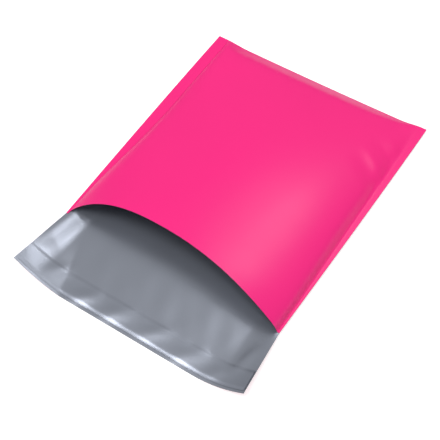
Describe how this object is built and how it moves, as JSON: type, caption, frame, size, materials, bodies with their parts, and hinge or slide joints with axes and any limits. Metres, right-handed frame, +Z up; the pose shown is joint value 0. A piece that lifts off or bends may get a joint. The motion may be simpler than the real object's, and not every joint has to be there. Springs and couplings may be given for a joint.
{
  "type": "poly mailer bag",
  "caption": "Film mailing bag lying on its back with the mouth standing open: pink outside, silver inside, welded sides, folded end, self-sealing lip.",
  "frame": {"origin": "centre of the bag's plan outline, on the surface that the bag lies on", "axes": "+Y from the open mouth towards the closed fold, +X to the right seen from the mouth, +Z up out of the front panel"},
  "size_m": [0.297, 0.4216, 0.0406],
  "materials": {
    "film_outside": "satin",
    "adhesive": "satin",
    "liner": "satin"
  },
  "bodies": {
    "root": {"film_bag": "film_outside", "adhesive_strip": "adhesive", "release_liner": "liner"}
  },
  "joints": []
}
